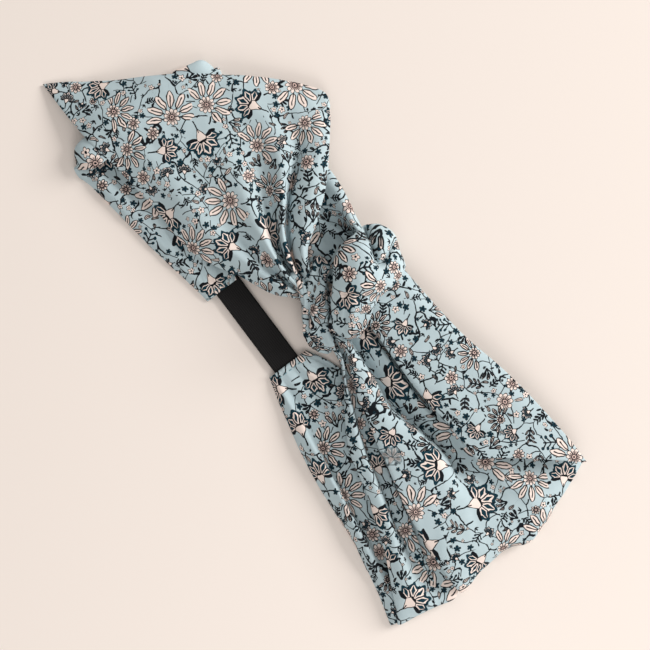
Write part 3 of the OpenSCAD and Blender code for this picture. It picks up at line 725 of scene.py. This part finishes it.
class Print:
    """The print of the cloth: packed generic flowers, leaves and sprigs, worked out in mm of flat cloth."""

    def __init__(self, tree, flat, colour):
        self.tree, self.flat, self.colour = tree, flat, colour

    def vec(self, kind, *terms):
        return add_node(self.tree, "VectorMath", enumerate(terms), operation=kind).outputs[0]

    def cell(self, place, size, jitter, moved):
        """The motif nearest to a place: its spot, how far off, its free radius, its kind and its turn."""
        sockets = {"Vector": self.vec("ADD", place, moved), "Scale": 1.0 / size, "Randomness": jitter}
        near, room = [
            add_node(self.tree, "TexVoronoi", sockets, voronoi_dimensions="2D", feature=feature)
            for feature in ("F1", "N_SPHERE_RADIUS")
        ]
        spot = self.vec("SUBTRACT", near.outputs["Position"], moved)
        off = Val(self.tree, near.outputs["Distance"]) * size
        free = Val(self.tree, room.outputs["Radius"]) * size
        chance = add_node(self.tree, "SeparateColor", {"Color": near.outputs["Color"]}).outputs
        return Cell(spot, off, free, Val(self.tree, chance[0]), Val(self.tree, chance[1]) * FULL_TURN)

    def local(self, spot, turn):
        """The place from a spot in mm, turned: across, along, distance and angle from the motif's own up."""
        sockets = {"Vector": self.vec("SUBTRACT", self.flat, spot), "Angle": turn}
        turned = add_node(self.tree, "VectorRotate", sockets, rotation_type="Z_AXIS").outputs[0]
        parts = add_node(self.tree, "SeparateXYZ", {"Vector": turned}).outputs
        x, y = Val(self.tree, parts[0]), Val(self.tree, parts[1])
        return x, y, *polar(x, y)

    def paint(self, rgb, mask):
        """Lays a shade over what is painted so far, where the mask is 1."""
        self.colour = mixed(self.tree, mask, self.colour, linear(rgb))

    def leaf(self, u, v, start, long, wide, on, edge=0.4, rib=0.2, tip=None, skew=0.0):
        """A slim cream leaf along u, with inked edge and rib; tip ends the rib, skew widens the foot."""
        t = ((u - start) / long).share()
        half = (t * (1.0 - t)).root() * wide
        if skew:
            half = half * (1.0 + skew / 2 - t * skew)
        inside = half - abs(v)
        line = abs(v).under(rib) * inside.over(0.1)
        if tip:
            line = line * t.under(tip, 0.04)
        self.paint(INK, inside.over(0.0) * on)
        self.paint(CREAM, inside.over(edge) * on)
        self.paint(INK, line * on)

    def floret(self, r, ang, size, on, rgb, petals=5):
        """A small open flower."""
        inside = size * ((ang.fold(FULL_TURN / petals) * (petals / 2)).cos() * 0.5 + 0.5) - r
        eye = size * 0.24
        self.paint(INK, inside.over(0.0) * on)
        self.paint(rgb, inside.over(0.3) * r.over(eye) * on)

    def daisy(self, r, ang, size, on, petals=9):
        """A round daisy: cream petals, blush throat and a dark eye."""
        step = FULL_TURN / petals
        a = ang.fold(step)
        notch = 0.26  # depth of the dips between petals, as a share of the size
        rim, parting = 0.36, 0.24  # inked edge, and half the gap between petals
        throat, vein, eye, ring = size * 0.5, size * 0.62, size * 0.3, size * 0.17
        inside = size * ((a * (petals / 2)).cos() * notch + (1.0 - notch)) - r
        gap = (step / 2 - abs(a)) * r
        petal = inside.over(rim) * gap.over(parting) * on
        self.paint(INK, inside.over(0.0) * on)
        self.paint(CREAM, petal)
        self.paint(BLUSH, r.under(throat, 0.8) * petal)
        self.paint(INK, abs(a).under(0.07, 0.05) * r.under(vein, 0.3) * on)
        self.paint(INK, r.under(eye) * on)
        self.paint(BLUSH, abs(r - ring).under(size * 0.05) * on)

    def fan(self, x, y, r, ang, size, on, last=2):
        """A fan flower: 2 * last + 1 toothed petals in teal and cream, over a cup."""
        step = math.radians(38)
        k = round(ang / step).max(-last).min(last)
        a = ang - k * step
        tooth = (a * (3 * math.pi / step)).cos() * 0.07
        edge = size * ((a * 2.2).cos() * 0.34 + 0.64 + tooth - abs(k) * 0.05) - r
        gap = (step / 2 - abs(a)) * r
        front = abs(a).under(step, 0.05) * on
        self.paint(TEAL, edge.min(gap * 1.2 + 0.25).over(0.0) * front)
        self.paint(INK, gap.under(0.2) * edge.over(0.0) * front)
        pale = (edge - size * 0.17).min(gap - 0.3)
        self.paint(CREAM, pale.over(0.0) * r.over(size * 0.2) * front)
        drop = size * 0.1 - abs(a) * r - abs(r - size * 0.55) * 0.36
        self.paint(TEAL, drop.over(0.0) * front)
        self.cup(x, y, size, on)

    def cup(self, x, y, size, on):
        """The cup under a fan flower, with its stalk."""
        foot, rim, end = size * -0.42, size * 0.36, size * -0.98
        cup = (y - foot).min(rim - y) * 0.5 - abs(x) + size * 0.08
        self.paint(INK, cup.over(-0.1) * y.under(size * 0.22) * on)
        self.paint(CREAM, cup.over(0.28) * y.under(size * 0.1) * on)
        self.paint(INK, abs(x).under(0.27) * y.under(size * -0.3) * y.over(end) * on)

    def spray(self, r, ang, size, on, step, last):
        """A fan of 2 * last + 1 slim leaves that open out from one point."""
        a = ang - round(ang / step).max(-last).min(last) * step
        u, v = r * a.cos(), r * a.sin()
        start = 0.36  # where the leaves begin on their stalks, as a share of the size
        self.paint(INK, abs(v).under(STALK) * r.under(size * 0.6) * u.over(0.0) * on)
        self.leaf(u, v, size * start, size * (1 - start), size * 0.3, on, edge=0.52, rib=0.26, tip=0.75)

    def sprig(self, x, y, size, on, bend, berries):
        """A bent stalk with three pairs of leaves, or of berries on short stalks."""
        side = abs(x + (y * y / size) * bend)
        foot, top, pitch, reach = size * -0.95, size * 0.55, size * 0.46, size * 0.62
        up = y + size * 0.62
        slant = up - side * 0.75
        k = round(slant / pitch).max(0.0).min(2.0)
        u, v = side * 1.25, (slant - k * pitch) * 0.8
        row = y.over(foot) * on
        self.paint(INK, side.under(STALK) * y.under(top) * row)
        if berries:
            self.paint(INK, abs(v).under(VINE) * u.under(reach) * row)
            ball, _ = polar(side - reach * 0.8, up - k * pitch - reach * 0.6)
            berry = size * 0.15
            self.paint(INK, ball.under(berry) * on)
            self.paint(TEAL, ball.under(berry - 0.27) * on)
        else:
            self.leaf(u, v, 0.2, reach, size * 0.3, row, rib=0.18)

    def large_size(self, free):
        return (free * 1.02).min(LARGE_MOST)

    def middle_size(self, spot, free):
        """Radius of a middle motif, which may reach 1.6 mm into the large one beside it."""
        large = self.cell(spot, *LARGE)
        return (free * 1.2).min(large.off - self.large_size(large.free) + 1.6).min(MIDDLE_MOST)

    def small_size(self, spot, free):
        """Radius of a small motif, which may reach about 1 mm into the larger ones beside it."""
        large, middle = self.cell(spot, *LARGE), self.cell(spot, *MIDDLE)
        radius = self.middle_size(middle.spot, middle.free)
        radius = radius * radius.over(MIDDLE_LEAST, SHARP)
        by_large = large.off - self.large_size(large.free) + 1.1
        return (free * 1.2).min(by_large).min(middle.off - radius + 0.9)

    def vines(self, near, clear):
        """Trailing stalks in the open ground, along the edges of a net that sways."""
        sway = strayed(self.tree, self.flat, near, scale=0.07, detail=0.0, reach=14.0)
        sockets = {"Vector": sway, "Scale": 1.0 / VINE_NET}
        net = add_node(self.tree, "TexVoronoi", sockets, voronoi_dimensions="2D", feature="DISTANCE_TO_EDGE")
        vine = Val(self.tree, net.outputs["Distance"]) * VINE_NET
        self.paint(INK, vine.under(VINE) * clear)

    def small_motifs(self, cell, size):
        x, y, r, ang = self.local(cell.spot, cell.turn)
        fits = size.over(SMALL_LEAST, SHARP)
        pale, dark, leaf, tuft = [fits * pick for pick in picks(cell.pick, 0.24, 0.52, 0.8)]
        self.floret(r, ang, size.min(1.8), pale, CREAM)
        self.floret(r, ang, size.min(1.7), dark, TEAL)
        curved = x + y * y * 0.06
        self.leaf(y + size, curved, 0.0, size * 2.0, size.min(2.8) * 0.8, leaf, tip=0.78, skew=0.5)
        self.spray(r, ang, size.min(2.6), tuft, step=0.85, last=1)

    def middle_motifs(self, cell, size):
        x, y, r, ang = self.local(cell.spot, cell.turn)
        fits = size.over(MIDDLE_LEAST, SHARP)
        kinds = [fits * pick for pick in picks(cell.pick, 0.2, 0.38, 0.54, 0.76)]
        daisy, leaves, berries, flower, bunch = kinds
        self.daisy(r, ang, size.min(4.0), daisy)
        self.sprig(x, y, size, leaves, bend=0.22, berries=False)
        self.sprig(x, y, size, berries, bend=-0.2, berries=True)
        self.fan(x, y, r, ang, size, flower)
        self.spray(*polar(x, y + size * 0.8), size * 1.75, bunch, step=0.55, last=1)

    def large_motifs(self, cell, size):
        x, y, r, ang = self.local(cell.spot, cell.turn)
        flower, posy = picks(cell.pick, 0.6)
        self.fan(x, y, r, ang, size, flower)
        r, ang = polar(x, y + size * 0.35)
        self.spray(r, ang, size * 1.25, posy, step=0.56, last=3)
        self.daisy(r, ang, (size * 0.44).min(4.6), posy, petals=10)


def printed_cotton():
    """Pale blue cotton in a plain weave, a little unevenly dyed, with the print by a slightly shaky hand."""
    traits = {"Roughness": 0.92, "Specular IOR Level": 0.1, "Sheen Weight": 0.03, "Sheen Roughness": 0.5}
    mat = material("printed_cotton", GROUND, traits)
    tree = mat.node_tree
    flat = add_node(tree, "VectorMath", {0: flat_place(tree), "Scale": 1 / MM}, operation="SCALE").outputs[0]
    cloud = add_node(tree, "TexNoise", {"Vector": flat, "Scale": 0.25, "Detail": 4.0}).outputs["Fac"]
    ground = mixed(tree, cloud, linear(GROUND), linear(GROUND_DEEP))
    cotton = Print(tree, strayed(tree, flat, flat, scale=0.3, detail=1.0, reach=1.1), ground)
    large, middle, small = [cotton.cell(cotton.flat, *layer) for layer in (LARGE, MIDDLE, SMALL)]
    large_size = cotton.large_size(large.free)
    middle_size = cotton.middle_size(middle.spot, middle.free)
    clear = (large.off - large_size * 0.8).over(0.0) * (middle.off - middle_size * 0.7).over(0.0)
    cotton.vines(flat, clear)
    cotton.small_motifs(small, cotton.small_size(small.spot, small.free))
    cotton.middle_motifs(middle, middle_size)
    cotton.large_motifs(large, large_size)
    feed(tree, "Base Color", cotton.colour)
    weave = waves(tree, flat, "X", 1.1, 0.6) + waves(tree, flat, "Y", 1.1, 0.6)
    bumps(tree, weave, 0.25, 0.12 * MM)
    return mat


def woven_elastic():
    """Black elastic: fine cords along it, crossed by the binding thread."""
    mat = material("elastic", BLACK, {"Roughness": 0.7, "Specular IOR Level": 0.25})
    tree = mat.node_tree
    flat = flat_place(tree)
    binding = waves(tree, flat, "X", 420.0, 1.0)
    cords = waves(tree, flat, "Y", 330.0, 1.0)
    bumps(tree, binding * 0.6 + cords, 0.6, 0.2 * MM)
    feed(tree, "Base Color", mixed(tree, cords, linear(BLACK_LOW), linear(BLACK_HIGH)))
    return mat


def sewing_thread():
    """Twisted polyester thread, a deeper blue than the ground."""
    mat = material("thread", THREAD_BLUE, {"Roughness": 0.6})
    tree = mat.node_tree
    where = add_node(tree, "TexCoord", {}).outputs["Object"]
    twist = waves(tree, where, "DIAGONAL", 900.0, 0.0)
    feed(tree, "Base Color", mixed(tree, twist, linear(THREAD_LOW), linear(THREAD_HIGH)))
    return mat


COTTON = printed_cotton()
ELASTIC = woven_elastic()
THREAD = sewing_thread()


def band_point(x, y=0.0):
    """A point at table height, from mm along and across the band."""
    return (x * MM, y * MM, 0.0)


def cloth(name, grid, turn, shift):
    """A folded sheet of the printed cotton, with its print turned (degrees) and shifted (m) on it."""
    ob = grid_mesh(name, grid)
    flat_map(ob, turn, shift)
    ob.data.materials.append(COTTON)
    plies(ob, CLOTH)
    return ob


def right_back():
    """The right back panel with its casing, from the fold at the right end to the elastic."""
    grid = crumple(loft(RIGHT_BACK), height=0.18, size=12, seed=11)
    ob = cloth("right_back_cloth", grid, turn=20, shift=(0.31, 0.12))
    band_point(RIGHT_LOOP, BAND_Y)
    band_point(GATHERS, BAND_Y)
    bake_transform(ob)
    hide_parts("right_casing", "right_back_panel")
    stitches("right_stitches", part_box("right_thread"), grid, "right_end", "right_thread")


def left_back():
    """The left back panel with its casing and the fold at the left end."""
    grid = crumple(loft(LEFT_BACK), height=0.18, size=12, seed=13)
    ob = cloth("left_back_cloth", grid, turn=-15, shift=(0.11, 0.42))
    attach(ob, "back")
    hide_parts("left_casing", "left_back_panel", "left_fold")
    stitches("left_stitches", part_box("left_thread"), grid, "back", "left_thread")


def right_front():
    """The right front panel in three pleats, round the right end and down to the back panel."""
    grid = crumple(loft(RIGHT_FRONT), height=0.2, size=14, seed=12)
    ob = cloth("right_front_cloth", grid, turn=35, shift=(0.7, 0.2))
    band_point(RIGHT_LOOP)
    band_point(KNOT_RIGHT)
    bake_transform(ob)
    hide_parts("right_front_panel", "right_fold")


def left_front():
    """The left front panel, gathered into the knot under the left tail."""
    grid = crumple(loft(LEFT_FRONT), height=0.2, size=12, seed=14)
    ob = cloth("left_front_cloth", grid, turn=60, shift=(0.2, 0.9))
    band_point(LEFT_LOOP)
    band_point(KNOT_LEFT)
    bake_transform(ob)
    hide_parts("left_front_panel")


def left_tail():
    """The left tail: gathered at the knot, it opens to a fan with a slant end."""
    grid = crumple(loft(LEFT_TAIL), height=0.22, size=18, seed=15)
    ob = cloth("left_tail_cloth", grid, turn=40, shift=(1.32, 0.56))
    neck, free = LEFT_TAIL_BEND
    band_point(neck)
    band_point(free)
    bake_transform(ob)
    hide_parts("left_tail")


def right_tail():
    """The right tail: one sheet folded at its lower edge into a top and an under layer."""
    grid = crumple(loft(RIGHT_TAIL), height=0.15, size=20, seed=16)
    ob = cloth("right_tail_cloth", grid, turn=-30, shift=(1.7, 0.9))
    neck, free = RIGHT_TAIL_BEND
    band_point(neck)
    band_point(free)
    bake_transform(ob)
    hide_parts("right_tail_top", "right_tail_under")


def knot_wrap():
    """The wide strap that goes over the knot."""
    grid = crumple(loft(KNOT_WRAP, STRAP_GRAIN), height=0.25, size=9, seed=17)
    ob = cloth("knot_wrap_cloth", creased(grid, WRAP_CREASES), turn=75, shift=(2.13, 0.345))
    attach(ob, "knot")
    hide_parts("knot_wrap")


def bunched(name, shape, body, node):
    """A strand of cloth bunched to a roll, inside or round the knot."""
    grid = crumple(strand(*shape), height=0.35, size=5, seed=31)
    ob = grid_mesh(name, grid, closed=True)
    strip_map(ob, grid, closed=True)
    ob.data.materials.append(COTTON)
    plies(ob, CLOTH)
    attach(ob, body)
    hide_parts(node)


def elastic_band():
    """The flat elastic between the casings, whose ends it is sewn into."""
    (x0, y0, z0), (x1, y1, z1) = ELASTIC_BOX
    along, across = ELASTIC_GRID
    x, y = np.meshgrid(np.linspace(x0, x1, along), np.linspace(y0, y1, across), indexing="ij")
    grid = np.stack([x, y, np.full_like(x, (z0 + z1) / 2)], -1)
    ob = grid_mesh("elastic_band", grid)
    strip_map(ob, grid)
    ob.data.materials.append(ELASTIC)
    plies(ob, ELASTIC_THICK)
    band_point(LEFT_SEAM, BAND_Y)
    band_point(RIGHT_SEAM, BAND_Y)
    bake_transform(ob)
    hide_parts("elastic")
    y1 - y0
    x1 - x0


def stitch_rings(x, y, top):
    """Points round one stitch, ring by ring: thinner at both ends, where it goes down into the cloth."""
    angles = np.linspace(0, FULL_TURN, STITCH_SIDES, endpoint=False)
    points = []
    for t in np.linspace(-1, 1, STITCH_RINGS):
        r = STITCH_THICK / 2 * (1 - 0.75 * abs(t) ** 3)
        z = top - STITCH_DIP * t * t
        points += [(x + r * math.cos(q), y + t * STITCH / 2, z + r * math.sin(q)) for q in angles]
    return points


def stitch_faces(first):
    """Faces of one stitch whose points start at number first."""
    n = STITCH_SIDES
    last = first + (STITCH_RINGS - 1) * n
    faces = [
        (a + q, a + (q + 1) % n, a + n + (q + 1) % n, a + n + q)
        for a in range(first, last, n)
        for q in range(n)
    ]
    return faces + [tuple(range(first, first + n)), tuple(reversed(range(last, last + n)))]


def stitches(name, box, grid, body, node):
    """A row of short stitches across a casing, lying on its cloth."""
    (x0, y0, _), (x1, y1, _) = box
    x = (x0 + x1) / 2
    points = grid.reshape(-1, 3)
    verts, faces = [], []
    for y in np.arange(y0 + STITCH / 2, y1 - STITCH / 4, STITCH_STEP):
        nearest = np.argsort((points[:, 0] - x) ** 2 + (points[:, 1] - y) ** 2)[:6]
        top = points[nearest, 2].max() + CLOTH / 2 + STITCH_LIFT
        faces += stitch_faces(len(verts))
        verts += stitch_rings(x, y, top)
    ob = add_mesh(name, verts, faces)
    ob.data.materials.append(THREAD)
    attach(ob, body)
    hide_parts(node)


def headband():
    """All pieces of the headband, from the back to the knot."""
    right_back()
    left_back()
    right_front()
    left_front()
    left_tail()
    right_tail()
    knot_wrap()
    bunched("knot_upper_cloth", KNOT_UPPER, "knot", "knot_upper_strand")
    bunched("knot_lower_cloth", KNOT_LOWER, "knot", "knot_lower_strand")
    bunched("knot_core_cloth", KNOT_CORE, "knot", "knot_core")
    bunched("left_neck_cloth", LEFT_NECK, "left_neck", "left_neck")
    bunched("right_neck_cloth", RIGHT_NECK, "right_neck", "right_neck")
    elastic_band()


def table():
    """The pale table that the headband lies on."""
    bpy.ops.mesh.primitive_plane_add(size=TABLE_SIZE)
    floor = bpy.context.object
    floor.name = "table"
    floor.data.materials.append(material("table", TABLE_TOP, {"Roughness": 0.6}))
    floor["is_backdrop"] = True


def lamp(name, spot, power, size):
    """A soft lamp at a spot given by the picture's right, its up and the height, in metres."""
    light = bpy.data.lights.new(name, "AREA")
    light.energy, light.size = power, size
    light.color = LAMP_WHITE
    ob = bpy.data.objects.new(name, light)
    bpy.context.scene.collection.objects.link(ob)
    ob.location = RIGHT * spot[0] + UP * spot[1] + Vector((0, 0, spot[2]))
    ob.rotation_euler = (-ob.location).to_track_quat("-Z", "Y").to_euler()


def daylight():
    """Soft daylight from all round, a low window at the picture's right and a weaker one below it."""
    world = bpy.data.worlds.new("room")
    bpy.context.scene.world = world
    world.use_nodes = True
    sky = world.node_tree.nodes["Background"]
    sky.inputs["Color"].default_value = SKY
    sky.inputs["Strength"].default_value = SKY_STRENGTH
    lamp("window", spot=(1.82, 0.85, 0.9), power=44.5, size=0.9)
    lamp("door", spot=(0.18, -0.67, 0.58), power=2.0, size=0.5)


def camera():
    """Straight down on the table, turned as in the photograph."""
    cam = bpy.data.cameras.new("camera")
    cam.sensor_width, cam.lens = SENSOR, LENS
    ob = bpy.data.objects.new("camera", cam)
    bpy.context.scene.collection.objects.link(ob)
    bpy.context.scene.camera = ob
    high = PICTURE * LENS / SENSOR + PICTURE_HEIGHT
    view = Matrix((RIGHT, UP, RIGHT.cross(UP))).transposed().to_4x4()
    view.translation = PICTURE_MID + Vector((0, 0, high))
    ob.matrix_world = view


table()
headband()
daylight()
camera()
bpy.context.scene.view_settings.view_transform = "Standard"
DRESSED_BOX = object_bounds()
{"cad": [list(c) for c in CAD_BOX], "visual": [list(c) for c in DRESSED_BOX]}
